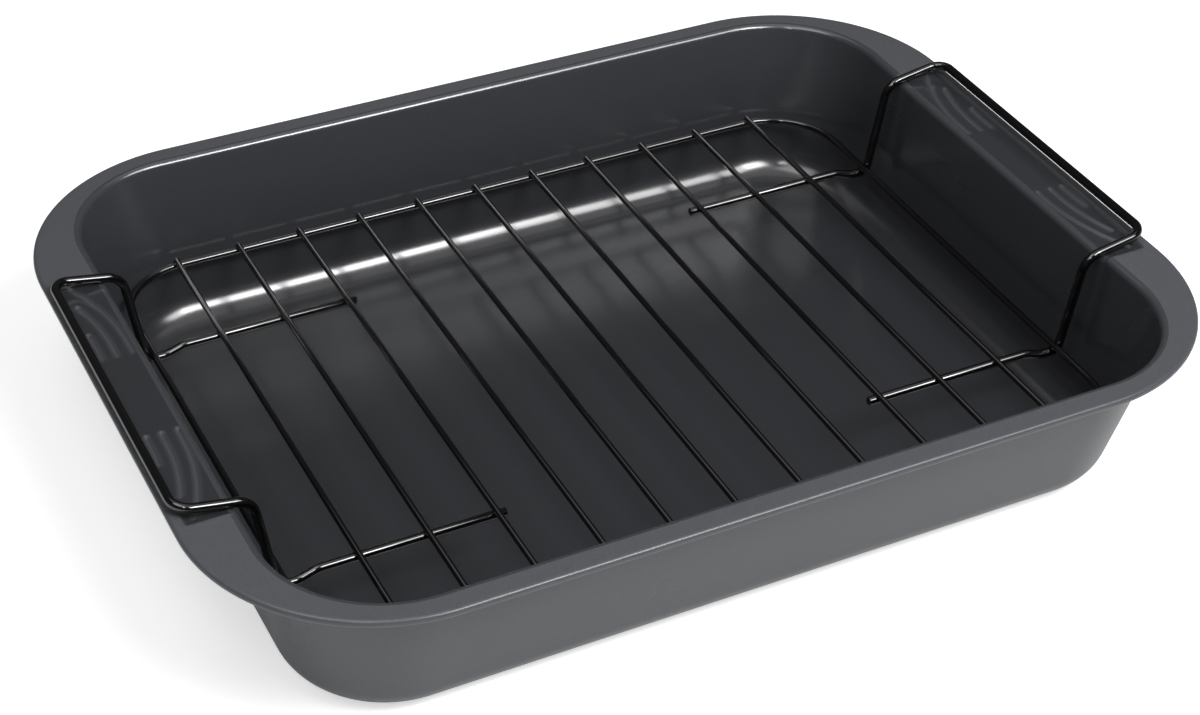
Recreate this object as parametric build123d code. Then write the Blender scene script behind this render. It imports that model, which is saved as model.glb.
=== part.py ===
"""Roasting pan with a lift-out wire rack.

Millimetres, +Z up. X runs along the pan, Y across it. The origin is the middle of the
pan's underside, on the surface that it stands on.
"""
import math
import os

from build123d import *

# Pan, over everything
PAN_LENGTH = 420.0
PAN_WIDTH = 318.0
PAN_HEIGHT = 71.0
OUTLINE_RADIUS = 76.0
SHEET = 0.8

# Flange out from the mouth, and how far each wall leans in by the floor, between the
# sharp corners that the bends then round
END_FLANGE = 23.7
SIDE_FLANGE = 11.1
END_LEAN = 9.3
SIDE_LEAN = 16.9
MOUTH_RADIUS = 47.6
FLOOR_RADIUS = 42.4
FLOOR_BEND = 15.0
RIM_BEND = 3.0

# Rolled outer edge
CURL_RADIUS = 1.6
CURL_WRAP_DEGREES = 250.0

# Sunk seat for each handle in the end flanges
SEAT_DEPTH = 1.2
SEAT_SLOPE = 2.0
SEAT_SIDE_GAP = 2.85
SEAT_EDGE = 4.0
SEAT_REACH_DOWN = 4.0

# Grip grooves in each seat. The section falls inward, steps up, and fades to the seat.
GROOVE_DEPTH = 0.7
GROOVE_FALL = 2.1
GROOVE_STEP = 0.3
GROOVE_STEP_RUN = 0.5
GROOVE_FADE = 2.0
GROOVE_START_INSET = 55.0
GROOVE_STRAIGHT = 8.0
GROOVE_SWEEP_RADIUS = 92.0

# Where each groove starts in from the seat's outer edge, and where it stops short of its end.
# All start at GROOVE_START_INSET from the seat's end.
GROOVE_INSETS = ((14.8, 3.5), (8.6, 16.5), (2.8, 36.0))

# Rack wires, each set a little into the wire that it is welded to
RING_WIRE = 3.0
CROSS_WIRE = 2.6
HANDLE_WIRE = 3.3
WELD_SET_DOWN = 0.6

# Rack ring: height of its centre line, and its gaps to the pan's walls
RING_Z = 29.2
RING_END_GAP = 9.4
RING_SIDE_GAP = 5.5
RING_RADIUS = 31.0

# Straight cross wires, which lie on the ring and run a little past its centre line
CROSS_COUNT = 11
CROSS_END_GAP = 29.3
CROSS_OVERHANG = 1.0

# Handle wires: stubs under the cross wires, a dip under the ring, leaning legs, rising
# rails and a bar
HANDLE_HALF_SPAN = 75.5
STUB_WIRES = 3
STUB_PAST = 4.3
DIP_BACK = 13.8
DIP_RUN = 8.0
DIP_DEPTH = 2.7
DIP_BEND = 10.0
FOOT_BEND = 4.0
LEG_BEND = 9.0
LEG_LEAN_DEGREES = 8.9
RAIL_GAP = 0.5
RAIL_TILT_DEGREES = 11.3
BAR_INSET = 2.6
BAR_CORNER = 7.0

# Overrun of blocks past the faces they cut or join, and slack when a height is matched
OVERRUN = 10.0
MATCH = 0.01
HALF_SHARE = 0.5
QUARTER_TURN_DEGREES = 90.0

MOUTH_LENGTH = PAN_LENGTH - 2 * END_FLANGE
MOUTH_WIDTH = PAN_WIDTH - 2 * SIDE_FLANGE
FLOOR_LENGTH = MOUTH_LENGTH - 2 * END_LEAN
FLOOR_WIDTH = MOUTH_WIDTH - 2 * SIDE_LEAN
WALL_RISE = PAN_HEIGHT - SHEET
END_SLOPE = END_LEAN / WALL_RISE
SIDE_SLOPE = SIDE_LEAN / WALL_RISE
CORNER_SLOPE = (MOUTH_RADIUS - FLOOR_RADIUS) / WALL_RISE
END_SKIN = SHEET * math.hypot(1, END_SLOPE)
SIDE_SKIN = SHEET * math.hypot(1, SIDE_SLOPE)

SEAT_Z = PAN_HEIGHT - SEAT_DEPTH
SEAT_HALF_LENGTH = HANDLE_HALF_SPAN + HANDLE_WIRE * HALF_SHARE + SEAT_SIDE_GAP
SEAT_OUTER_X = PAN_LENGTH * HALF_SHARE - SEAT_EDGE
SEAT_INNER_X = MOUTH_LENGTH * HALF_SHARE - OVERRUN
GROOVE_START_Y = SEAT_HALF_LENGTH - GROOVE_START_INSET

RING_LENGTH = FLOOR_LENGTH + 2 * (END_SLOPE * (RING_Z - SHEET) - RING_END_GAP) - RING_WIRE
RING_WIDTH = FLOOR_WIDTH + 2 * (SIDE_SLOPE * (RING_Z - SHEET) - RING_SIDE_GAP) - RING_WIRE
CROSS_PITCH = (RING_LENGTH - 2 * CROSS_END_GAP) / (CROSS_COUNT - 1)
CROSS_Z = RING_Z + (RING_WIRE + CROSS_WIRE) * HALF_SHARE - WELD_SET_DOWN
STUB_Z = CROSS_Z - (HANDLE_WIRE + CROSS_WIRE) * HALF_SHARE + WELD_SET_DOWN
STUB_END_X = ((CROSS_COUNT + 1) * HALF_SHARE - STUB_WIRES) * CROSS_PITCH - STUB_PAST

ON_FLOOR = (Align.CENTER, Align.CENTER, Align.MIN)
UNDER = (Align.CENTER, Align.CENTER, Align.MAX)


def both_ends(*pieces):
    """The pieces of the right-hand end, then the same pieces mirrored to the left."""
    return [pieces, tuple(mirror(piece, about=Plane.YZ) for piece in pieces)]


def outline(length, width, radius, z):
    """Rounded rectangle, lying flat at height z."""
    return Plane.XY.offset(z) * RectangleRounded(length, width, radius)


def tub(skin_shares, top):
    """Tapering block that fills the pan to the height top.

    With 0 skin shares its faces are the sheet's inside, and with 1 they are the outside.
    """
    floor = SHEET * (1 - skin_shares)
    sections = []
    for z in (floor, top):
        rise = z - SHEET
        length = FLOOR_LENGTH + 2 * (END_SLOPE * rise + END_SKIN * skin_shares)
        width = FLOOR_WIDTH + 2 * (SIDE_SLOPE * rise + SIDE_SKIN * skin_shares)
        radius = FLOOR_RADIUS + CORNER_SLOPE * rise + SHEET * skin_shares
        sections.append(outline(length, width, radius, z))
    block = loft(sections, ruled=True)
    return fillet(block.edges().group_by(Axis.Z)[0], FLOOR_BEND + SHEET * skin_shares)


def dish(skin_shares, flange_top):
    """The tub under a wide slab, with the bend between wall and flange rounded."""
    top = flange_top - SHEET * skin_shares
    slab_length = PAN_LENGTH + 2 * OVERRUN
    slab = Pos(0, 0, top) * Box(slab_length, PAN_WIDTH + 2 * OVERRUN, OVERRUN, align=ON_FLOOR)
    block = tub(skin_shares, top) + slab
    rim = [
        edge
        for edge in block.edges().filter_by_position(Axis.Z, top - MATCH, top + MATCH)
        if abs(edge.center().X) < PAN_LENGTH * HALF_SHARE and abs(edge.center().Y) < PAN_WIDTH * HALF_SHARE
    ]
    return fillet(rim, RIM_BEND - SHEET * skin_shares)


def seat_prism(skin):
    """Sloping-sided block over the right-hand handle seat, grown outward by skin."""
    sections = []
    for z in (SEAT_Z - SEAT_REACH_DOWN, PAN_HEIGHT + OVERRUN):
        spread = SEAT_SLOPE * (z - PAN_HEIGHT) / SEAT_DEPTH + skin
        outer_x = SEAT_OUTER_X + spread
        half_length = SEAT_HALF_LENGTH + spread
        middle = (SEAT_INNER_X + outer_x) * HALF_SHARE
        sections.append(Pos(middle, 0, z) * Rectangle(outer_x - SEAT_INNER_X, 2 * half_length))
    return loft(sections, ruled=True)


def groove(edge_inset, end_inset, skin):
    """One grip groove of the right-hand seat: straight, then sweeping outward.

    With a skin it is the ridge that the groove makes under the sheet.
    """
    start_x = SEAT_OUTER_X - edge_inset
    start_y = GROOVE_START_Y - skin
    bend_y = GROOVE_START_Y + GROOVE_STRAIGHT
    end_y = SEAT_HALF_LENGTH - end_inset + skin
    turn = math.asin((end_y - bend_y) / GROOVE_SWEEP_RADIUS)
    bends = [
        (
            start_x + GROOVE_SWEEP_RADIUS * (1 - math.cos(angle)),
            bend_y + GROOVE_SWEEP_RADIUS * math.sin(angle),
            SEAT_Z - skin,
        )
        for angle in (0, turn * HALF_SHARE, turn)
    ]
    first = (start_x, start_y, SEAT_Z - skin)
    path = Wire([Edge.make_line(first, bends[0]), Edge.make_three_point_arc(*bends)])

    # Section points: outward from the path, and down from the seat
    fall = GROOVE_FALL * HALF_SHARE
    step = fall + GROOVE_STEP_RUN
    fade = step + GROOVE_FADE
    points = [
        (fall, -GROOVE_DEPTH),
        (fall, 0),
        (-fall, GROOVE_DEPTH),
        (-step, GROOVE_DEPTH - GROOVE_STEP),
        (-fade, 0),
        (-fade, -GROOVE_DEPTH),
    ]
    section = make_face(Polyline(*points, close=True))
    return sweep(Plane(origin=first, x_dir=(1, 0, 0), z_dir=(0, 1, 0)) * section, path=path)


def grooves(skin):
    """Grip grooves of both seats, each set mirrored about the middle."""
    found = []
    for edge_inset, end_inset in GROOVE_INSETS:
        one = groove(edge_inset, end_inset, skin)
        two = [one, mirror(one, about=Plane.XZ)]
        found += two + [mirror(piece, about=Plane.YZ) for piece in two]
    return found


def curl():
    """Rolled outer edge: a C-shaped section carried round the outline."""
    length = PAN_LENGTH - 2 * CURL_RADIUS
    width = PAN_WIDTH - 2 * CURL_RADIUS
    z = PAN_HEIGHT - CURL_RADIUS
    path = outline(length, width, OUTLINE_RADIUS - CURL_RADIUS, z).wire()
    start = (0, -width * HALF_SHARE, z)
    outer = CenterArc((0, 0), CURL_RADIUS, QUARTER_TURN_DEGREES, -CURL_WRAP_DEGREES)
    inner = CenterArc((0, 0), CURL_RADIUS - SHEET, QUARTER_TURN_DEGREES, -CURL_WRAP_DEGREES)
    section = make_face([outer, inner, Line(outer @ 0, inner @ 0), Line(outer @ 1, inner @ 1)])
    return sweep(Plane(origin=start, x_dir=(0, -1, 0), z_dir=(-1, 0, 0)) * section, path=path)


def pan():
    """One pressed sheet: tapering tub, flange with two sunk seats, rolled outer edge."""
    above = dish(0, PAN_HEIGHT)
    below = dish(1, PAN_HEIGHT)
    seat_above = dish(0, SEAT_Z)
    seat_below = dish(1, SEAT_Z)
    for prism_above, prism_below in both_ends(seat_prism(0), seat_prism(SHEET)):
        above += seat_above & prism_above
        below += seat_below & prism_below
    under_seat = Pos(0, 0, SEAT_Z) * Box(PAN_LENGTH, PAN_WIDTH, OVERRUN, align=UNDER)
    for ridge in grooves(SHEET):
        below += ridge & under_seat
    length = PAN_LENGTH - 2 * CURL_RADIUS
    width = PAN_WIDTH - 2 * CURL_RADIUS
    blank = extrude(outline(length, width, OUTLINE_RADIUS - CURL_RADIUS, 0), PAN_HEIGHT)
    sheet = (below & blank) - above
    for tool in grooves(0):
        sheet -= tool
    return sheet + curl()


def bent_path(points, radii):
    """Wire path through the points, with an arc of its own radius at each inner one."""
    edges = []
    last = Vector(*points[0])
    for before, corner, after, radius in zip(points, points[1:], points[2:], radii):
        corner = Vector(*corner)
        back = (Vector(*before) - corner).normalized()
        forward = (Vector(*after) - corner).normalized()
        half_angle = math.radians(back.get_angle(forward)) * HALF_SHARE
        reach = radius / math.tan(half_angle)
        inward = (back + forward).normalized()
        start = corner + back * reach
        end = corner + forward * reach
        middle = corner + inward * (radius / math.sin(half_angle) - radius)
        edges.append(Edge.make_line(last, start))
        edges.append(Edge.make_three_point_arc(start, middle, end))
        last = end
    edges.append(Edge.make_line(last, Vector(*points[-1])))
    return Wire(edges)


def bent_wire(points, radii, diameter):
    """Round wire of the given diameter, bent along the points."""
    path = bent_path(points, radii)
    start = Plane(origin=path @ 0, z_dir=path % 0)
    return sweep(start * Circle(diameter * HALF_SHARE), path=path)


def rack_ring():
    """Closed rounded-rectangle wire that carries the cross wires."""
    path = outline(RING_LENGTH, RING_WIDTH, RING_RADIUS, RING_Z).wire()
    start = Plane(origin=(0, -RING_WIDTH * HALF_SHARE, RING_Z), x_dir=(0, 1, 0), z_dir=(1, 0, 0))
    return sweep(start * Circle(RING_WIRE * HALF_SHARE), path=path)


def cross_wire(x):
    """Straight wire across the rack at x, with both ends on the ring."""
    tip_y = RING_WIDTH * HALF_SHARE + CROSS_OVERHANG
    start = Plane(origin=(x, -tip_y, CROSS_Z), z_dir=(0, 1, 0))
    return extrude(start * Circle(CROSS_WIRE * HALF_SHARE), 2 * tip_y)


def handle_corners():
    """Corners of the right-hand handle's wire, as x and z, from its stub to its bar."""
    lean = math.tan(math.radians(LEG_LEAN_DEGREES))
    tilt = math.tan(math.radians(RAIL_TILT_DEGREES))
    ring_x = RING_LENGTH * HALF_SHARE
    dip_x = ring_x - DIP_BACK
    dip_z = STUB_Z - DIP_DEPTH

    # The ring lies in the crook of the lower bend
    crook = FOOT_BEND - (RING_WIRE + HANDLE_WIRE) * HALF_SHARE + WELD_SET_DOWN
    bend_x = ring_x - math.sqrt(crook**2 - (RING_Z - dip_z - FOOT_BEND) ** 2)
    half_turn = (QUARTER_TURN_DEGREES - LEG_LEAN_DEGREES) * HALF_SHARE
    foot_x = bend_x + FOOT_BEND * math.tan(math.radians(half_turn))

    # The rail rises outward from just above the inner edge of the seat
    seat_x = MOUTH_LENGTH * HALF_SHARE + RIM_BEND
    half_wire = HANDLE_WIRE * HALF_SHARE / math.cos(math.radians(RAIL_TILT_DEGREES))
    rail_z = SEAT_Z + RAIL_GAP + half_wire
    top_x = (foot_x + lean * (rail_z - tilt * seat_x - dip_z)) / (1 - lean * tilt)
    bar_x = PAN_LENGTH * HALF_SHARE - BAR_INSET
    return [
        (STUB_END_X, STUB_Z),
        (dip_x, STUB_Z),
        (dip_x + DIP_RUN, dip_z),
        (foot_x, dip_z),
        (top_x, rail_z + tilt * (top_x - seat_x)),
        (bar_x, rail_z + tilt * (bar_x - seat_x)),
    ]


def handle_wire():
    """Right-hand handle: two stubs under the cross wires, two legs and a long bar."""
    corners = handle_corners()
    near = [(x, -HANDLE_HALF_SPAN, z) for x, z in corners]
    far = [(x, HANDLE_HALF_SPAN, z) for x, z in reversed(corners)]
    bends = [DIP_BEND, DIP_BEND, FOOT_BEND, LEG_BEND, BAR_CORNER]
    return bent_wire(near + far, bends + bends[::-1], HANDLE_WIRE)


def rack():
    """All the rack's wires, each cut where it is pressed into a neighbour at a weld."""
    right = handle_wire()
    handles = {"handle_wire_right": right, "handle_wire_left": mirror(right, about=Plane.YZ)}
    ring = rack_ring()
    pieces = {"rack_frame": ring}
    for name, handle in handles.items():
        pieces[name] = handle - ring
    for index in range(CROSS_COUNT):
        x = (index - (CROSS_COUNT - 1) * HALF_SHARE) * CROSS_PITCH
        wire = cross_wire(x) - ring
        for handle in handles.values():
            wire -= handle
        pieces[f"cross_wire_{index + 1:02d}"] = wire
    return pieces


def main():
    os.makedirs("parts", exist_ok=True)
    pieces = {"pan": pan(), **rack()}
    for name, piece in pieces.items():
        export_step(piece, f"parts/{name}.step")


if __name__ == "__main__":
    main()
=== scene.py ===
"""Looks of a roasting pan and its lift-out wire rack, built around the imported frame.

Everything is in metres in the frame's own axes: +Z up, X along the pan and Y across it, with
the origin in the middle of the pan's underside. Sizes are written in millimetres times MM.
"""
import math

import bpy
import numpy as np
from mathutils import Matrix, Vector


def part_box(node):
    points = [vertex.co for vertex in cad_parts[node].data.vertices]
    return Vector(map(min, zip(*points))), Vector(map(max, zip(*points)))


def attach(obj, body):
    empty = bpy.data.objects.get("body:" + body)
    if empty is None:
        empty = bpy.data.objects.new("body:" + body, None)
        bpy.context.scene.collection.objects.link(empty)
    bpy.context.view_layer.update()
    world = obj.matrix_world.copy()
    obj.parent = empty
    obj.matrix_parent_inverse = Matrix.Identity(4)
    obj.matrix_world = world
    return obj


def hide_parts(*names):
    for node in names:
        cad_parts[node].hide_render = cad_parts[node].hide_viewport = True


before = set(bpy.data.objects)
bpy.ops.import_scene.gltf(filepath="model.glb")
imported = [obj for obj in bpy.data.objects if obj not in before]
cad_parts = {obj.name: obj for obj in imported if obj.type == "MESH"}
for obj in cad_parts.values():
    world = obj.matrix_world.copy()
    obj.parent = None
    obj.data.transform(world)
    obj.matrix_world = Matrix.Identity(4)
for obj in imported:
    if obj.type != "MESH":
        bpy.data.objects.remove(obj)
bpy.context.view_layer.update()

MM = 0.001

# Corners of a rectangle, anticlockwise from the near left one
CORNERS = ((-1, -1), (1, -1), (1, 1), (-1, 1))

# Pan, read from the frame
HALF_LENGTH, HALF_WIDTH, PAN_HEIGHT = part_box("pan")[1]

# Pan: its sheet, flange, walls and bends
OUTLINE_RADIUS = 76 * MM
SHEET = 0.8 * MM
END_FLANGE = 23.7 * MM
SIDE_FLANGE = 11.1 * MM
END_LEAN = 9.3 * MM
SIDE_LEAN = 16.9 * MM
MOUTH_RADIUS = 47.6 * MM
FLOOR_RADIUS = 42.4 * MM
FLOOR_BEND = 15 * MM
RIM_BEND = 3 * MM
CURL_RADIUS = 1.6 * MM
CURL_WRAP = math.radians(250)

# Handle seats and their grip grooves
SEAT_HALF_LENGTH = 80 * MM
SEAT_DEPTH = 1.2 * MM
SEAT_SLOPE = 2 * MM
SEAT_EDGE = 4 * MM
GROOVE_DEPTH = 0.7 * MM
GROOVE_FALL = 2.1 * MM
GROOVE_STEP = 0.3 * MM
GROOVE_STEP_RUN = 0.5 * MM
GROOVE_FADE = 2 * MM
GROOVE_START_Y = 25 * MM
GROOVE_STRAIGHT = 8 * MM
GROOVE_SWEEP_RADIUS = 92 * MM
GROOVE_END_RUN = 1 * MM
# Each groove: how far in it lies from the seat's outer edge, and its end from the seat's end
GROOVE_INSETS = ((14.8 * MM, 3.5 * MM), (8.6 * MM, 16.5 * MM), (2.8 * MM, 36 * MM))

# What is missing of the second coat at the top of the well's wall and deep in a groove.
# At the wall's top this paints a lighter sheen, and in a groove it paints a highlight
PAINTED_WALL_SHEEN = 0.4
PAINTED_GROOVE_HIGHLIGHT = 0.7

# Steps of the pan's mesh round its outline. The close ones on an end begin before the grooves
GROOVE_LEAD = 3 * MM
MIDDLE_STEPS = 6
SEAT_STEPS = 60
SEAT_TO_CORNER_STEPS = 3
CORNER_STEPS = 28
SIDE_STEPS = 12

# Steps of the pan's mesh along its section, from the floor to the curl's free edge
FLOOR_INSETS = (24 * MM, 1.5 * MM)
FLOOR_BEND_STEPS = 16
WALL_SHARES = (0.03, 0.25, 0.5, 0.75, 0.97)
RIM_BEND_STEPS = 9
FLANGE_STEPS = 52
CURL_STEPS = 22
UNDER_FLANGE_STEPS = 30
UNDER_CURL_STEPS = 14

# Rack wires, read from the frame where their boxes show them. The handle wires are 3.8 mm
# thick in the photograph and 3.3 mm in the frame, and are drawn as in the photograph
RING_WIRE = 3 * MM
CROSS_WIRE = 2.6 * MM
HANDLE_WIRE = 3.3 * MM
DRAWN_HANDLE_WIRE = 3.8 * MM
RING_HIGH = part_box("rack_frame")[1]
RING_X = RING_HIGH.x - RING_WIRE / 2
RING_Y = RING_HIGH.y - RING_WIRE / 2
RING_Z = RING_HIGH.z - RING_WIRE / 2
RING_RADIUS = 31 * MM
CROSS_NAMES = sorted(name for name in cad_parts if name.startswith("cross_wire"))
CROSS_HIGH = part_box(CROSS_NAMES[-1])[1]
CROSS_LAST_X = CROSS_HIGH.x - CROSS_WIRE / 2
CROSS_PITCH = 2 * CROSS_LAST_X / (len(CROSS_NAMES) - 1)
CROSS_TIP_Y = CROSS_HIGH.y
CROSS_Z = CROSS_HIGH.z - CROSS_WIRE / 2

# Handle wires: places of their corners along X, and heights of their centre lines
HANDLE_LOW, HANDLE_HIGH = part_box("handle_wire_right")
STUB_END_X = HANDLE_LOW.x
BAR_X = HANDLE_HIGH.x - HANDLE_WIRE / 2
HANDLE_HALF_SPAN = HANDLE_HIGH.y - HANDLE_WIRE / 2
DIP_Z = HANDLE_LOW.z + HANDLE_WIRE / 2
BAR_Z = HANDLE_HIGH.z - HANDLE_WIRE / 2
STUB_RISE = 2.7 * MM
DIP_BACK = 13.8 * MM
DIP_RUN = 8 * MM
DIP_BEND = 10 * MM
FOOT_PAST_RING = 2.54 * MM
FOOT_BEND = 4 * MM
LEG_BEND = 9 * MM
LEG_LEAN = math.radians(8.9)
RAIL_TILT = math.radians(11.3)
BAR_CORNER = 7 * MM

# Enamel that gathers in each welded crossing; three cross wires lie on each handle's stubs
BEAD_RADIUS = 1.9 * MM
BEAD_FLATNESS = 0.5
STUB_WIRES = 3

# Rounding of a cut wire end: shares of its length back from the tip, and of the wire there
TIP_ROUNDING = 0.5 * MM
TIP_SHARES = ((0, 0.62), (0.25, 0.81), (0.6, 0.94), (1, 1))

# Steps of the wires' and the beads' meshes
WIRE_SIDES = 24
WIRE_BEND_STEPS = 20
BEAD_SEGMENTS = 16
BEAD_RINGS = 8

# Pan's coating. The first coat's flake varies between two colours. The roughness and the IOR
# are given for the first coat and for the second, of which half is enough to gloss the skin
FIRST_COAT_COLOURS = ("#4a4c50", "#525458")
# The second coat's dark colour is partly painted shade in the well, and painted shade on the
# seats
DARK_COAT_AND_SHADE_COLOUR = "#2d2e31"
COAT_ROUGHNESS = (0.3, 0.2)
COAT_IOR = (1.5, 1.8)
GLOSSING_COAT = 0.5
PEEL_SIZE = 1.2 * MM
PEEL_DEPTH = 0.05 * MM
PEEL_STRENGTH = 0.06
CLOUD_SIZE = 70 * MM
CLOUDINESS = 0.25
FLAKE_SIZE = 0.6 * MM

# Wires' enamel. The noise that stands for its runs mostly stays in RUN_RANGE
ENAMEL_COLOURS = ("#030303", "#070707")
ENAMEL_ROUGHNESS = (0.08, 0.12)
ENAMEL_IOR = 1.8
RUN_SIZE = 6 * MM
RUN_DEPTH = 0.1 * MM
RUN_STRENGTH = 0.03
RUN_RANGE = (0.3, 0.7)

# Camera, solved from the pan's outline, rim and floor in the photograph
IMAGE_WIDTH = 1200
IMAGE_HEIGHT = 715
CAMERA_AZIMUTH = math.radians(-26.28)
CAMERA_ELEVATION = math.radians(37.14)
CAMERA_ROLL = math.radians(0.92)
CAMERA_DISTANCE = 978.9 * MM
CAMERA_TARGET = Vector((-26.83 * MM, -4.35 * MM, 35 * MM))
FOCAL_PIXELS = 2412.19
CENTRE_PIXELS = (551.73, 360.02)
SENSOR_WIDTH = 36
CLIP_START = 10 * MM

# Colour of the table's glow and of the room
WHITE = "#ffffff"

# Table: its reach from the middle, its gap under the pan, and its glow as the pan and the
# rack see it, a painted glow that lights them though no lamp is there. The camera sees another
# glow, which rises between two distances from the middle and paints the pan's shadow lighter
TABLE_COLOUR = "#dcdcdc"
TABLE_REACH = 4
TABLE_GAP = 0.2 * MM
TABLE_GLOW = 0.12
SEEN_GLOWS = (0.62, 1)
SEEN_DISTANCES = (0.5, 1.5)

# Light of the room, as the product of two changes with height. Each has the two elevations in
# degrees that it lies between, and the strength at each
ROOM_CHANGES = ((25, 65, 0.085, 0.02), (12, 32, 0.4, 1))

# Lamps: name, azimuth and elevation in degrees, distance and size in metres, power in watts
SOFTBOXES = (
    ("key_softbox", (17, 52), 1.6, (0.6, 0.5), 13.5),
    ("side_softbox", (42, 52), 1.6, (0.7, 0.5), 9),
    ("corner_softbox", (-32, 50), 1.6, (0.16, 0.25), 2),
    ("left_softbox", (-70, 65), 1.8, (1, 1), 7),
    ("top_softbox", (154, 88), 1.8, (2, 2), 8),
)


def linear(colour):
    """The linear RGBA of an sRGB hex colour."""
    channels = [int(colour[i:i + 2], 16) / 255 for i in (1, 3, 5)]
    return [c / 12.92 if c <= 0.04045 else ((c + 0.055) / 1.055) ** 2.4 for c in channels] + [1]


def add_node(tree, kind, values=None, links=None, **settings):
    """A new node with its settings, the values of its sockets and the links into them."""
    node = tree.nodes.new(kind)
    for name, value in settings.items():
        setattr(node, name, value)
    for socket, value in (values or {}).items():
        node.inputs[socket].default_value = value
    for socket, source in (links or {}).items():
        tree.links.new(source, node.inputs[socket])
    return node


def new_material(name):
    """An empty material, with its node tree and its surface shader."""
    material = bpy.data.materials.new(name)
    material.use_nodes = True
    tree = material.node_tree
    tree.nodes.clear()
    shader = add_node(tree, "ShaderNodeBsdfPrincipled")
    add_node(tree, "ShaderNodeOutputMaterial", links={"Surface": shader.outputs["BSDF"]})
    return material, tree, shader


def sprayed_nonstick_steel():
    """Pressed steel sheet sprayed with a non-stick coating.

    One satin coat with metal flake covers the sheet, so the outside and the flange are a
    mid grey. The well and the seats have a second coat, darker and glossier. In the well its
    darkness is partly painted shade, and on the seats it is painted shade under the handles.
    It thins up the well's wall, which paints a lighter sheen at the wall's top, and in the
    grooves, which paints a highlight on them. The skin has a faint orange peel, and its gloss
    is a little cloudy where spray passes overlap.
    """
    material, tree, shader = new_material("sprayed_nonstick_steel")
    place = add_node(tree, "ShaderNodeTexCoord").outputs["Object"]
    # How much of the darker coat lies on the sheet: partly a real coat, partly painted shade,
    # sheen and highlight
    dark_coat_and_painted_shade = add_node(tree, "ShaderNodeAttribute", attribute_name="dark_coat_and_painted_shade")

    # Spray droplets that level out
    peel = add_node(
        tree, "ShaderNodeTexNoise", {"Scale": 1 / PEEL_SIZE, "Detail": 2}, {"Vector": place}
    )
    # Overlaps of the spray passes
    cloud = add_node(
        tree, "ShaderNodeTexNoise", {"Scale": 1 / CLOUD_SIZE, "Detail": 3}, {"Vector": place}
    )
    # Metal flake in the coating is 0.1 mm, and is drawn larger so that it shows
    flake = add_node(
        tree, "ShaderNodeTexVoronoi", {"Scale": 1 / FLAKE_SIZE}, {"Vector": place}
    )
    first = add_node(
        tree,
        "ShaderNodeMix",
        {"A": linear(FIRST_COAT_COLOURS[0]), "B": linear(FIRST_COAT_COLOURS[1])},
        {"Factor": flake.outputs["Color"]},
        data_type="RGBA",
    )
    body = add_node(
        tree,
        "ShaderNodeMix",
        {"B": linear(DARK_COAT_AND_SHADE_COLOUR)},
        {"Factor": dark_coat_and_painted_shade.outputs["Fac"], "A": first.outputs["Result"]},
        data_type="RGBA",
    )
    gloss, index = (
        add_node(
            tree,
            "ShaderNodeMapRange",
            {"From Min": 0, "From Max": GLOSSING_COAT, "To Min": once, "To Max": twice},
            {"Value": dark_coat_and_painted_shade.outputs["Fac"]},
        )
        for once, twice in (COAT_ROUGHNESS, COAT_IOR)
    )
    cloudiness = add_node(
        tree,
        "ShaderNodeMapRange",
        {"From Min": 0, "From Max": 1, "To Min": 1 - CLOUDINESS, "To Max": 1 + CLOUDINESS},
        {"Value": cloud.outputs["Fac"]},
    )
    roughness = add_node(
        tree,
        "ShaderNodeMath",
        links={0: gloss.outputs["Result"], 1: cloudiness.outputs["Result"]},
        operation="MULTIPLY",
    )
    bump = add_node(
        tree,
        "ShaderNodeBump",
        {"Strength": PEEL_STRENGTH, "Distance": PEEL_DEPTH},
        {"Height": peel.outputs["Fac"]},
    )
    tree.links.new(body.outputs["Result"], shader.inputs["Base Color"])
    tree.links.new(roughness.outputs["Value"], shader.inputs["Roughness"])
    tree.links.new(index.outputs["Result"], shader.inputs["IOR"])
    tree.links.new(bump.outputs["Normal"], shader.inputs["Normal"])
    return material


def dipped_enamel_wire():
    """Drawn steel wire dipped in glossy black enamel.

    The skin is smooth and nearly black. Its thin highlights waver where the dip ran.
    """
    material, tree, shader = new_material("dipped_enamel_wire")
    place = add_node(tree, "ShaderNodeTexCoord").outputs["Object"]

    # Slow runs in the dip
    runs = add_node(
        tree, "ShaderNodeTexNoise", {"Scale": 1 / RUN_SIZE, "Detail": 2}, {"Vector": place}
    )
    body = add_node(
        tree,
        "ShaderNodeMix",
        {"A": linear(ENAMEL_COLOURS[0]), "B": linear(ENAMEL_COLOURS[1])},
        {"Factor": runs.outputs["Fac"]},
        data_type="RGBA",
    )
    low, high = RUN_RANGE
    smooth, rough = ENAMEL_ROUGHNESS
    roughness = add_node(
        tree,
        "ShaderNodeMapRange",
        {"From Min": low, "From Max": high, "To Min": smooth, "To Max": rough},
        {"Value": runs.outputs["Fac"]},
    )
    bump = add_node(
        tree,
        "ShaderNodeBump",
        {"Strength": RUN_STRENGTH, "Distance": RUN_DEPTH},
        {"Height": runs.outputs["Fac"]},
    )
    tree.links.new(body.outputs["Result"], shader.inputs["Base Color"])
    tree.links.new(roughness.outputs["Result"], shader.inputs["Roughness"])
    tree.links.new(bump.outputs["Normal"], shader.inputs["Normal"])
    shader.inputs["IOR"].default_value = ENAMEL_IOR
    return material


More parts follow.
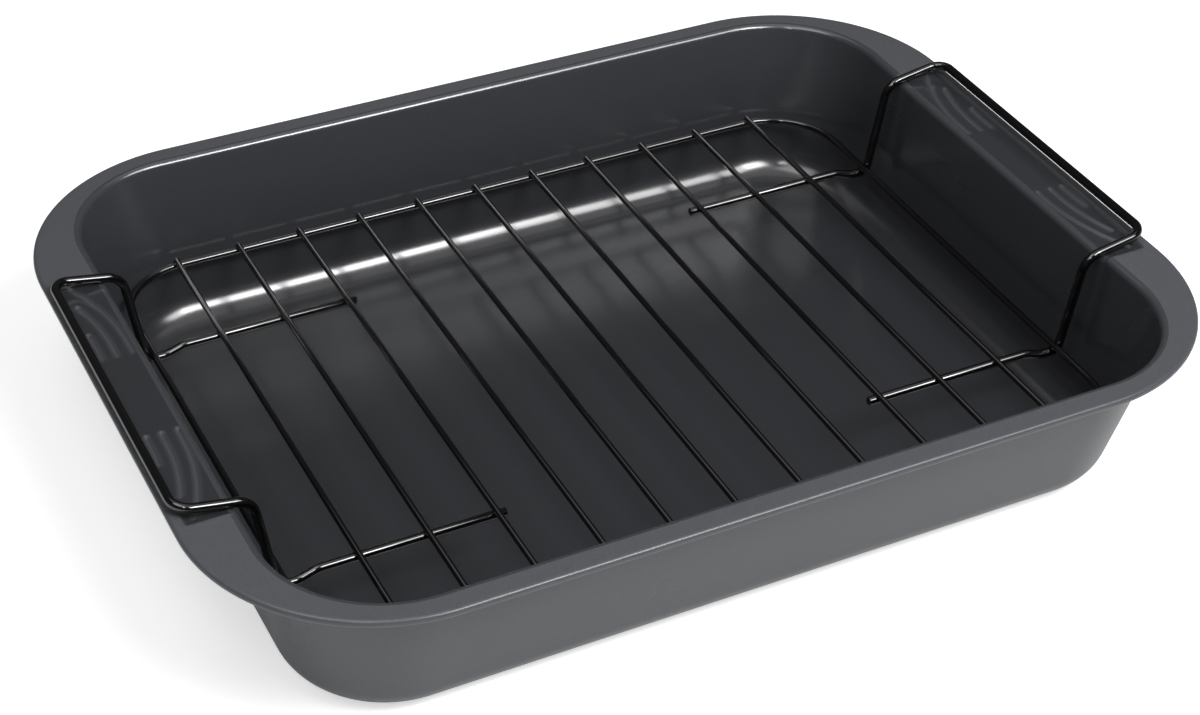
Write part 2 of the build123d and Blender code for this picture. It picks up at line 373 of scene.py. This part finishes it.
def rounded_rectangle_stations():
    """Places round a rounded rectangle, anticlockwise from the right-hand end's near part.

    A place is kept as what to add for 1, for the half length, for the half width and for the
    corner radius, first for x and then for y, so that the same places fit every level of the
    pan. Beside it is its outward normal.
    """
    groove_start = GROOVE_START_Y - GROOVE_LEAD
    seat_end = SEAT_HALF_LENGTH + SEAT_SLOPE
    middle = np.linspace(0, groove_start, MIDDLE_STEPS + 1)[:-1]
    upper = np.concatenate([middle, np.linspace(groove_start, seat_end, SEAT_STEPS + 1)])
    end_places = np.concatenate([-upper[:0:-1], upper])
    angles = np.linspace(0, math.pi / 2, CORNER_STEPS + 1)
    corner = [(math.cos(angle), math.sin(angle)) for angle in angles]
    shares = [step / SEAT_TO_CORNER_STEPS for step in range(1, SEAT_TO_CORNER_STEPS)]
    places = []
    for turn in (1, -1):
        for y in end_places:
            places.append(((0, turn, 0, 0), (turn * y, 0, 0, 0), (turn, 0)))
        for share in shares:
            up = (turn * seat_end * (1 - share), 0, turn * share, -turn * share)
            places.append(((0, turn, 0, 0), up, (turn, 0)))
        for cos, sin in corner:
            x_sum = (0, turn, 0, turn * (cos - 1))
            places.append((x_sum, (0, 0, turn, turn * (sin - 1)), (turn * cos, turn * sin)))
        for share in np.linspace(1, -1, SIDE_STEPS + 1)[1:-1] * turn:
            places.append(((0, share, 0, -share), (0, 0, turn, 0), (0, turn)))
        for cos, sin in reversed(corner):
            x_sum = (0, -turn, 0, -turn * (cos - 1))
            places.append((x_sum, (0, 0, turn, turn * (sin - 1)), (-turn * cos, turn * sin)))
        for share in reversed(shares):
            up = (turn * seat_end * (1 - share), 0, turn * share, -turn * share)
            places.append(((0, -turn, 0, 0), up, (-turn, 0)))
    x_sums, y_sums, normals = zip(*places)
    return np.array(x_sums), np.array(y_sums), np.array(normals)


def ease(share):
    """A smooth rise from 0 to 1, level outside them."""
    share = np.clip(share, 0, 1)
    return share * share * (3 - 2 * share)


def seat_share(x, y):
    """1 on the floor of a handle seat, 0 outside it, and between them on its slopes."""
    along = ease((SEAT_HALF_LENGTH - abs(y)) / SEAT_SLOPE)
    across = ease((HALF_LENGTH - SEAT_EDGE - abs(x)) / SEAT_SLOPE)
    return along * across


def groove_depth(x, y):
    """How deep the grip grooves cut: each falls inward, steps up and fades to the seat."""
    depth = np.zeros_like(x)
    bend_y = GROOVE_START_Y + GROOVE_STRAIGHT
    fall = GROOVE_FALL / 2
    step = fall + GROOVE_STEP_RUN
    places = (-step - GROOVE_FADE, -step, -fall, fall)
    depths = (0, GROOVE_DEPTH - GROOVE_STEP, GROOVE_DEPTH, 0)
    for edge_inset, end_inset in GROOVE_INSETS:
        end_y = SEAT_HALF_LENGTH - end_inset
        past = np.clip(abs(y) - bend_y, 0, end_y - bend_y)
        sweep = GROOVE_SWEEP_RADIUS - np.sqrt(GROOVE_SWEEP_RADIUS**2 - past**2)
        centre = HALF_LENGTH - SEAT_EDGE - edge_inset + sweep
        out = (abs(x) - centre) * np.sqrt(1 - (past / GROOVE_SWEEP_RADIUS) ** 2)
        begun = ease((abs(y) - GROOVE_START_Y) / GROOVE_END_RUN + 0.5)
        ended = ease((end_y - abs(y)) / GROOVE_END_RUN + 0.5)
        depth = np.maximum(depth, np.interp(out, places, depths) * begun * ended)
    return depth


class PanSheet:
    """Rings of points over the pan's sheet, each with one point for every station."""

    def __init__(self):
        self.x_sums, self.y_sums, self.normals = rounded_rectangle_stations()
        self.level = np.ones(len(self.normals))
        leans = np.array((END_LEAN, SIDE_LEAN, MOUTH_RADIUS - FLOOR_RADIUS))
        self.slopes = leans / (PAN_HEIGHT - SHEET)
        mouth = (HALF_LENGTH - END_FLANGE, HALF_WIDTH - SIDE_FLANGE, MOUTH_RADIUS)
        self.mouth = np.array(mouth)
        # How far a face moves on the level for each unit of skin, which is square to the wall
        self.skins = np.array((math.hypot(1, self.slopes[0]), math.hypot(1, self.slopes[1]), 1))
        outer = np.array((HALF_LENGTH, HALF_WIDTH, OUTLINE_RADIUS))
        self.curl_path = self.outline(*(outer - CURL_RADIUS))
        rise = self.wall(self.level * PAN_HEIGHT, 0) - self.wall(self.level * 0, 0)
        self.lean = (rise * self.normals).sum(axis=1) / PAN_HEIGHT

    def outline(self, half_length, half_width, radius):
        """The stations' x and y on a rounded rectangle of that size."""
        sizes = np.array((1, half_length, half_width, radius))
        return np.stack([self.x_sums @ sizes, self.y_sums @ sizes], axis=1)

    def wall(self, z, skin):
        """x and y on the wall's face, at each station's own height z."""
        top = self.outline(*(self.mouth + self.skins * skin))
        floor = self.outline(*(self.mouth - self.slopes * PAN_HEIGHT + self.skins * skin))
        return top + (floor - top) * (1 - z / PAN_HEIGHT)[:, None]

    def ring(self, xy, across, z):
        """One ring: x and y moved outward by across, at the height z."""
        return np.column_stack([xy + self.normals * across[:, None], z])

    def bend(self, skin, centre_z, radius, side, angles):
        """Rings round a bend that meets the wall, with its centre inward of it at side 1."""
        start, end, steps = angles
        rings = []
        for share in np.linspace(0, 1, steps + 1):
            angle = start + (end - start) * share
            z = centre_z + radius * np.sin(angle)
            out = np.cos(angle) - self.lean * np.sin(angle) - side * np.hypot(1, self.lean)
            rings.append(self.ring(self.wall(z, skin), radius * out, z))
        return rings

    def face(self, skin, flange_steps):
        """Rings of one face of the sheet: those of the well, and those of the flange."""
        slope = np.arctan(self.lean)
        quarter = self.level * math.pi / 2

        # The floor's bend, and two rings inside it that keep the floor flat
        floor_z = self.level * (SHEET - skin)
        radius = FLOOR_BEND + skin
        angles = (-quarter, -slope, FLOOR_BEND_STEPS)
        floor_bend = self.bend(skin, floor_z + radius, radius, 1, angles)
        inner = floor_bend[0][:, :2]
        flat = [self.ring(inner, self.level * -inset, floor_z) for inset in FLOOR_INSETS]

        # The rim's bend, which dips with the handle seats
        x, y = self.wall(self.level * PAN_HEIGHT, skin).T
        radius = RIM_BEND - skin
        rim_z = PAN_HEIGHT - skin - SEAT_DEPTH * seat_share(x, y) - radius
        angles = (2 * quarter - slope, quarter, RIM_BEND_STEPS)
        rim_bend = self.bend(skin, rim_z, radius, -1, angles)

        low = floor_bend[-1][:, 2]
        high = rim_bend[0][:, 2]
        walls = []
        for share in WALL_SHARES:
            z = low + (high - low) * share
            walls.append(self.ring(self.wall(z, skin), self.level * 0, z))

        inner = rim_bend[-1][:, :2]
        flange = []
        for share in np.linspace(0, 1, flange_steps + 1)[1:-1]:
            xy = inner + (self.curl_path - inner) * share
            x, y = xy.T
            depth = (SEAT_DEPTH + groove_depth(x, y)) * seat_share(x, y)
            flange.append(self.ring(xy, self.level * 0, PAN_HEIGHT - skin - depth))
        return flat + floor_bend + walls + rim_bend, flange

    def curl(self, radius, steps):
        """Rings of one face of the curl, from the flange round to its free edge."""
        rings = []
        for share in np.linspace(0, 1, steps + 1):
            angle = math.pi / 2 - CURL_WRAP * share
            across = self.level * radius * math.cos(angle)
            z = PAN_HEIGHT - CURL_RADIUS + radius * math.sin(angle)
            rings.append(self.ring(self.curl_path, across, self.level * z))
        return rings


def mesh_object(name, points, edges, faces):
    """A mesh piece with its place in its mesh."""
    mesh = bpy.data.meshes.new(name)
    mesh.from_pydata(points, edges, faces)
    mesh.update()
    piece = bpy.data.objects.new(name, mesh)
    bpy.context.scene.collection.objects.link(piece)
    return piece


def make_pan(coating):
    """The pan's sheet as one closed shell."""
    sheet = PanSheet()
    well, flange = sheet.face(0, FLANGE_STEPS)
    curl = sheet.curl(CURL_RADIUS, CURL_STEPS)
    under_well, under_flange = sheet.face(SHEET, UNDER_FLANGE_STEPS)
    below = under_well + under_flange + sheet.curl(CURL_RADIUS - SHEET, UNDER_CURL_STEPS)
    rings = well + flange + curl + below[::-1]
    count = len(sheet.level)
    faces = [tuple(range(count))]
    for row in range(len(rings) - 1):
        low, high = row * count, (row + 1) * count
        for i in range(count):
            j = (i + 1) % count
            faces.append((low + i, high + i, high + j, low + j))
    last = (len(rings) - 1) * count
    faces.append(tuple(range(last + count - 1, last - 1, -1)))
    pan = mesh_object("pan_shell", np.concatenate(rings).tolist(), [], faces)
    pan.data.materials.append(coating)
    pan.data.shade_smooth()

    # The second, darker coat covers the well, where its darkness is partly painted shade, and
    # the seats, where it is painted shade under the handles, and nothing from the curl on
    up_wall = [ease((ring[:, 2] - FLOOR_BEND) / (PAN_HEIGHT - FLOOR_BEND)) for ring in well]
    # Painted sheen: less of the darker coat toward the wall's top makes the top lighter
    coats_and_painted_light = [1 - PAINTED_WALL_SHEEN * share for share in up_wall]
    for ring in flange:
        x, y = ring[:, :2].T
        # Painted highlight: less of the darker coat in the grooves makes them lighter
        groove_highlight = PAINTED_GROOVE_HIGHLIGHT * groove_depth(x, y) / GROOVE_DEPTH
        coats_and_painted_light.append(seat_share(x, y) * (1 - groove_highlight))
    coats_and_painted_light += [sheet.level * 0] * (len(curl) + len(below))
    dark_coat_and_painted_shade = pan.data.attributes.new("dark_coat_and_painted_shade", "FLOAT", "POINT")
    dark_coat_and_painted_shade.data.foreach_set("value", np.concatenate(coats_and_painted_light))
    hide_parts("pan")
    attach(pan, "pan")


def new_geometry_tree(name, inputs):
    """An empty Geometry Nodes tree with named inputs, and the outputs of its input node."""
    tree = bpy.data.node_groups.new(name, "GeometryNodeTree")
    for title, kind in inputs.items():
        tree.interface.new_socket(name=title, in_out="INPUT", socket_type="NodeSocket" + kind)
    tree.interface.new_socket(name="Result", in_out="OUTPUT", socket_type="NodeSocketGeometry")
    return tree, add_node(tree, "NodeGroupInput").outputs


def finish_tree(tree, copies, finish):
    """Ends a tree: the copies made real, shaded smooth and given their finish."""
    real = add_node(tree, "GeometryNodeRealizeInstances", links={"Geometry": copies})
    smooth = add_node(
        tree, "GeometryNodeSetShadeSmooth", links={"Geometry": real.outputs["Geometry"]}
    )
    painted = add_node(
        tree,
        "GeometryNodeSetMaterial",
        links={"Geometry": smooth.outputs["Geometry"], "Material": finish},
    )
    add_node(tree, "NodeGroupOutput", links={"Result": painted.outputs["Geometry"]})


def bent_wire_tree():
    """Round wire along a path of corners, copied in a row along X.

    Each point of the path carries the radius of its bend and its share of the wire's radius.
    """
    inputs = {
        "Path": "Geometry",
        "Wire Radius": "Float",
        "Wire Sides": "Int",
        "Bend Steps": "Int",
        "Copies": "Int",
        "Pitch": "Float",
        "Finish": "Material",
    }
    tree, given = new_geometry_tree("bent_wire", inputs)
    bend = add_node(
        tree, "GeometryNodeInputNamedAttribute", {"Name": "bend"}, data_type="FLOAT"
    )
    share = add_node(
        tree, "GeometryNodeInputNamedAttribute", {"Name": "share"}, data_type="FLOAT"
    )
    path = add_node(tree, "GeometryNodeMeshToCurve", links={"Mesh": given["Path"]})
    bent = add_node(
        tree,
        "GeometryNodeFilletCurve",
        links={
            "Curve": path.outputs["Curve"],
            "Count": given["Bend Steps"],
            "Radius": bend.outputs["Attribute"],
        },
        mode="POLY",
    )
    section = add_node(
        tree,
        "GeometryNodeCurvePrimitiveCircle",
        links={"Resolution": given["Wire Sides"], "Radius": given["Wire Radius"]},
    )
    wire = add_node(
        tree,
        "GeometryNodeCurveToMesh",
        {"Fill Caps": True},
        {
            "Curve": bent.outputs["Curve"],
            "Profile Curve": section.outputs["Curve"],
            "Scale": share.outputs["Attribute"],
        },
    )
    offset = add_node(tree, "ShaderNodeCombineXYZ", links={"X": given["Pitch"]})
    row = add_node(
        tree,
        "GeometryNodeMeshLine",
        links={"Count": given["Copies"], "Offset": offset.outputs["Vector"]},
    )
    copies = add_node(
        tree,
        "GeometryNodeInstanceOnPoints",
        links={"Points": row.outputs["Mesh"], "Instance": wire.outputs["Mesh"]},
    )
    finish_tree(tree, copies.outputs["Instances"], given["Finish"])
    return tree


def weld_bead_tree():
    """A flattened bead on every given point."""
    inputs = {
        "Welds": "Geometry",
        "Bead Radius": "Float",
        "Flatness": "Float",
        "Finish": "Material",
    }
    tree, given = new_geometry_tree("weld_beads", inputs)
    ball = add_node(
        tree,
        "GeometryNodeMeshUVSphere",
        {"Segments": BEAD_SEGMENTS, "Rings": BEAD_RINGS},
        {"Radius": given["Bead Radius"]},
    )
    scale = add_node(tree, "ShaderNodeCombineXYZ", {"X": 1, "Y": 1}, {"Z": given["Flatness"]})
    copies = add_node(
        tree,
        "GeometryNodeInstanceOnPoints",
        links={
            "Points": given["Welds"],
            "Instance": ball.outputs["Mesh"],
            "Scale": scale.outputs["Vector"],
        },
    )
    finish_tree(tree, copies.outputs["Instances"], given["Finish"])
    return tree


def grown_piece(piece, tree, values, nodes):
    """The piece turned into what the tree makes of it, as a plain mesh on the rack."""
    modifier = piece.modifiers.new(tree.name, "NODES")
    modifier.node_group = tree
    for item in tree.interface.items_tree:
        if item.in_out == "INPUT" and item.name in values:
            modifier[item.identifier] = values[item.name]
    evaluated = piece.evaluated_get(bpy.context.evaluated_depsgraph_get())
    mesh = bpy.data.meshes.new_from_object(evaluated)
    piece.modifiers.clear()
    piece.data = mesh
    mesh.name = piece.name
    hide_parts(*nodes)
    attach(piece, "rack")


def path_object(name, corners, bends, closed):
    """A path's corners and edges, with the bends' radii. An open path's ends are rounded."""
    points = [Vector(corner) for corner in corners]
    radii = list(bends)
    shares = [1] * len(points)
    if not closed:
        # A cut end is tumbled round. The path is turned about after each of its two ends
        for _ in range(2):
            tip = points[0]
            inward = (points[1] - tip).normalized()
            points[:1] = [tip + inward * TIP_ROUNDING * back for back, _ in TIP_SHARES]
            shares[:1] = [share for _, share in TIP_SHARES]
            radii[:1] = [0] * len(TIP_SHARES)
            for values in (points, shares, radii):
                values.reverse()
    edges = [(i, i + 1) for i in range(len(points) - 1)]
    if closed:
        edges.append((len(points) - 1, 0))
    piece = mesh_object(name, points, edges, [])
    for title, values in (("bend", radii), ("share", shares)):
        piece.data.attributes.new(title, "FLOAT", "POINT").data.foreach_set("value", values)
    return piece


def handle_path():
    """Corners of the right-hand handle's wire, from its near stub round to its far one."""
    dip_x = RING_X - DIP_BACK
    foot_x = RING_X + FOOT_PAST_RING
    lean, tilt = math.tan(LEG_LEAN), math.tan(RAIL_TILT)
    top_x = (foot_x + lean * (BAR_Z - DIP_Z - tilt * BAR_X)) / (1 - lean * tilt)
    # The drawn wire is thicker than the frame's. The bar is lowered, so that its top stays at
    # the frame's height, and the leg's top is raised, so that the rail clears the seat
    extra = (DRAWN_HANDLE_WIRE - HANDLE_WIRE) / 2
    corners = (
        (STUB_END_X, DIP_Z + STUB_RISE),
        (dip_x, DIP_Z + STUB_RISE),
        (dip_x + DIP_RUN, DIP_Z),
        (foot_x, DIP_Z),
        (top_x, BAR_Z - tilt * (BAR_X - top_x) + extra),
        (BAR_X, BAR_Z - extra),
    )
    near = [(x, -HANDLE_HALF_SPAN, z) for x, z in corners]
    far = [(x, HANDLE_HALF_SPAN, z) for x, z in reversed(corners)]
    bends = [0, DIP_BEND, DIP_BEND, FOOT_BEND, LEG_BEND, BAR_CORNER]
    return near + far, bends + bends[::-1]


def make_rack(enamel):
    """The rack's ring, cross wires, handles and welds."""
    tree = bent_wire_tree()
    steps = {"Wire Sides": WIRE_SIDES, "Bend Steps": WIRE_BEND_STEPS}
    values = steps | {"Copies": 1, "Finish": enamel}

    corners = [(x * RING_X, y * RING_Y, RING_Z) for x, y in CORNERS]
    ring = path_object("ring_wire", corners, [RING_RADIUS] * len(corners), True)
    grown_piece(ring, tree, values | {"Wire Radius": RING_WIRE / 2}, ["rack_frame"])

    tips = [(-CROSS_LAST_X, y, CROSS_Z) for y in (-CROSS_TIP_Y, CROSS_TIP_Y)]
    row = path_object("cross_wires", tips, [0, 0], False)
    repeats = {"Wire Radius": CROSS_WIRE / 2, "Copies": len(CROSS_NAMES), "Pitch": CROSS_PITCH}
    grown_piece(row, tree, values | repeats, CROSS_NAMES)

    corners, bends = handle_path()
    for side, name in ((1, "handle_wire_right"), (-1, "handle_wire_left")):
        turned = [(side * x, y, z) for x, y, z in corners]
        handle = path_object("bent_" + name, turned, bends, False)
        grown_piece(handle, tree, values | {"Wire Radius": DRAWN_HANDLE_WIRE / 2}, [name])

    weld_z = (RING_Z + RING_WIRE / 2 + CROSS_Z - CROSS_WIRE / 2) / 2
    crossings = [-CROSS_LAST_X + CROSS_PITCH * i for i in range(len(CROSS_NAMES))]
    welds = [(x, y, weld_z) for x in crossings for y in (-RING_Y, RING_Y)]
    for x in crossings[:STUB_WIRES] + crossings[-STUB_WIRES:]:
        welds += [(x, y, weld_z) for y in (-HANDLE_HALF_SPAN, HANDLE_HALF_SPAN)]
    beads = mesh_object("weld_beads", welds, [], [])
    sizes = {"Bead Radius": BEAD_RADIUS, "Flatness": BEAD_FLATNESS, "Finish": enamel}
    grown_piece(beads, weld_bead_tree(), sizes, ["rack_frame"])


def direction(azimuth, elevation):
    """A unit vector; azimuth 0 is in front of the pan, and grows to the right."""
    level = math.cos(elevation)
    return Vector((math.sin(azimuth) * level, -math.cos(azimuth) * level, math.sin(elevation)))


def add_camera():
    """The photograph's camera."""
    back = direction(CAMERA_AZIMUTH, CAMERA_ELEVATION)
    level_right = Vector((math.cos(CAMERA_AZIMUTH), math.sin(CAMERA_AZIMUTH), 0))
    level_up = back.cross(level_right)
    right = level_right * math.cos(CAMERA_ROLL) + level_up * math.sin(CAMERA_ROLL)
    up = back.cross(right)
    data = bpy.data.cameras.new("camera")
    data.sensor_width = SENSOR_WIDTH
    data.lens = FOCAL_PIXELS * SENSOR_WIDTH / IMAGE_WIDTH
    data.shift_x = (IMAGE_WIDTH / 2 - CENTRE_PIXELS[0]) / IMAGE_WIDTH
    data.shift_y = (CENTRE_PIXELS[1] - IMAGE_HEIGHT / 2) / IMAGE_WIDTH
    data.clip_start = CLIP_START
    camera = bpy.data.objects.new("camera", data)
    place = Matrix.Translation(CAMERA_TARGET + back * CAMERA_DISTANCE)
    camera.matrix_world = place @ Matrix((right, up, back)).transposed().to_4x4()
    bpy.context.scene.collection.objects.link(camera)
    bpy.context.scene.camera = camera


def add_softbox(name, place, distance, size, power):
    """A soft lamp that faces the pan from an azimuth and an elevation in degrees."""
    data = bpy.data.lights.new(name, "AREA")
    data.shape = "RECTANGLE"
    data.size, data.size_y = size
    data.energy = power
    lamp = bpy.data.objects.new(name, data)
    toward = direction(*(math.radians(angle) for angle in place))
    lamp.location = toward * distance
    lamp.rotation_euler = toward.to_track_quat("Z", "Y").to_euler()
    bpy.context.scene.collection.objects.link(lamp)


def add_table():
    """A white table that glows though no lamp lights it: a painted glow, brighter to the
    camera, which paints its shadows lighter.
    """
    table, tree, shader = new_material("glowing_white_table")
    shader.inputs["Base Color"].default_value = linear(TABLE_COLOUR)
    shader.inputs["Roughness"].default_value = 1
    shader.inputs["Specular IOR Level"].default_value = 0
    shader.inputs["Emission Color"].default_value = linear(WHITE)
    looked_at = add_node(tree, "ShaderNodeLightPath").outputs["Is Camera Ray"]
    place = add_node(tree, "ShaderNodeTexCoord").outputs["Object"]
    distance = add_node(tree, "ShaderNodeVectorMath", links={0: place}, operation="LENGTH")
    # Far from the pan, where no shadow falls, the table is as white as its surroundings
    near, far = SEEN_DISTANCES
    low, high = SEEN_GLOWS
    spread = add_node(
        tree,
        "ShaderNodeMapRange",
        {"From Min": near, "From Max": far, "To Min": low, "To Max": high},
        {"Value": distance.outputs["Value"]},
        interpolation_type="SMOOTHSTEP",
    )
    # Painted glow: the camera sees it brighter than the pan does, which lightens the shadow
    # near the pan
    painted_glow = add_node(
        tree,
        "ShaderNodeMapRange",
        {"From Min": 0, "From Max": 1, "To Min": TABLE_GLOW},
        {"Value": looked_at, "To Max": spread.outputs["Result"]},
    )
    tree.links.new(painted_glow.outputs["Result"], shader.inputs["Emission Strength"])
    corners = [(x * TABLE_REACH, y * TABLE_REACH, -TABLE_GAP) for x, y in CORNERS]
    floor = mesh_object("floor", corners, [], [(0, 1, 2, 3)])
    floor.data.materials.append(table)


def add_room():
    """A room that is white to the camera, and dim with a brighter band to the pan and rack."""
    world = bpy.data.worlds.new("studio")
    world.use_nodes = True
    tree = world.node_tree
    tree.nodes.clear()
    rays = add_node(tree, "ShaderNodeLightPath")
    looking = add_node(tree, "ShaderNodeTexCoord").outputs["Generated"]
    height = add_node(tree, "ShaderNodeSeparateXYZ", links={"Vector": looking})
    changes = [
        add_node(
            tree,
            "ShaderNodeMapRange",
            {
                "From Min": math.sin(math.radians(low)),
                "From Max": math.sin(math.radians(high)),
                "To Min": start,
                "To Max": end,
            },
            {"Value": height.outputs["Z"]},
            interpolation_type="SMOOTHSTEP",
        )
        for low, high, start, end in ROOM_CHANGES
    ]
    strength = add_node(
        tree,
        "ShaderNodeMath",
        links={i: change.outputs["Result"] for i, change in enumerate(changes)},
        operation="MULTIPLY",
    )
    walls = add_node(
        tree,
        "ShaderNodeBackground",
        {"Color": linear(WHITE)},
        {"Strength": strength.outputs["Value"]},
    )
    white = add_node(tree, "ShaderNodeBackground", {"Color": linear(WHITE), "Strength": 1})
    seen = add_node(
        tree,
        "ShaderNodeMixShader",
        links={0: rays.outputs["Is Camera Ray"], 1: walls.outputs[0], 2: white.outputs[0]},
    )
    add_node(tree, "ShaderNodeOutputWorld", links={"Surface": seen.outputs[0]})
    bpy.context.scene.world = world


def main():
    add_camera()
    add_table()
    add_room()
    for softbox in SOFTBOXES:
        add_softbox(*softbox)
    make_pan(sprayed_nonstick_steel())
    make_rack(dipped_enamel_wire())
    bpy.context.scene.view_settings.view_transform = "Standard"


main()
